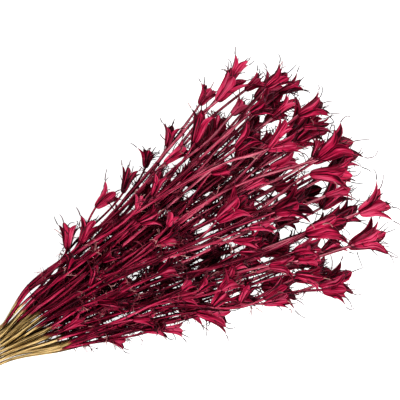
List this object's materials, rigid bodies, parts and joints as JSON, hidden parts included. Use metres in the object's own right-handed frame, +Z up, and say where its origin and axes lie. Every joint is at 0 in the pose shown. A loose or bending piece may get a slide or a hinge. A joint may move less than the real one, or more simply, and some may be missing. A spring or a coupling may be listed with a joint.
{
  "type": "dried nigella orientalis bunch",
  "caption": "Dyed, dried bunch of Nigella orientalis lying flat, fanned out from an elastic band, with trumpet-shaped seed heads on branching stems.",
  "frame": {"origin": "on the surface that the bunch lies on, under the middle of the bunch", "axes": "+X along the bunch from the cut ends to the seed heads, +Y across it, +Z up from the surface"},
  "size_m": [0.4518, 0.183, 0.1164],
  "materials": {
    "plant": "matte, dyed and dried, with straw-coloured stems below the dye line",
    "band": "matte"
  },
  "bodies": {
    "root": {"spray_01": "plant", "spray_02": "plant", "spray_03": "plant", "spray_04": "plant", "spray_05": "plant", "spray_06": "plant", "spray_07": "plant", "spray_08": "plant", "spray_09": "plant", "spray_10": "plant", "spray_11": "plant", "spray_12": "plant", "spray_13": "plant", "spray_14": "plant", "spray_15": "plant", "spray_16": "plant", "spray_17": "plant", "spray_18": "plant", "spray_19": "plant", "spray_20": "plant", "spray_21": "plant", "spray_22": "plant", "spray_23": "plant", "spray_24": "plant", "spray_25": "plant", "spray_26": "plant", "spray_27": "plant", "spray_28": "plant", "spray_29": "plant", "spray_30": "plant", "spray_31": "plant", "spray_32": "plant", "spray_33": "plant", "spray_34": "plant", "spray_35": "plant", "spray_36": "plant", "spray_37": "plant", "spray_38": "plant", "spray_39": "plant", "spray_40": "plant", "spray_41": "plant", "spray_42": "plant", "spray_43": "plant", "spray_44": "plant", "spray_45": "plant", "spray_46": "plant", "band": "band"}
  },
  "joints": []
}
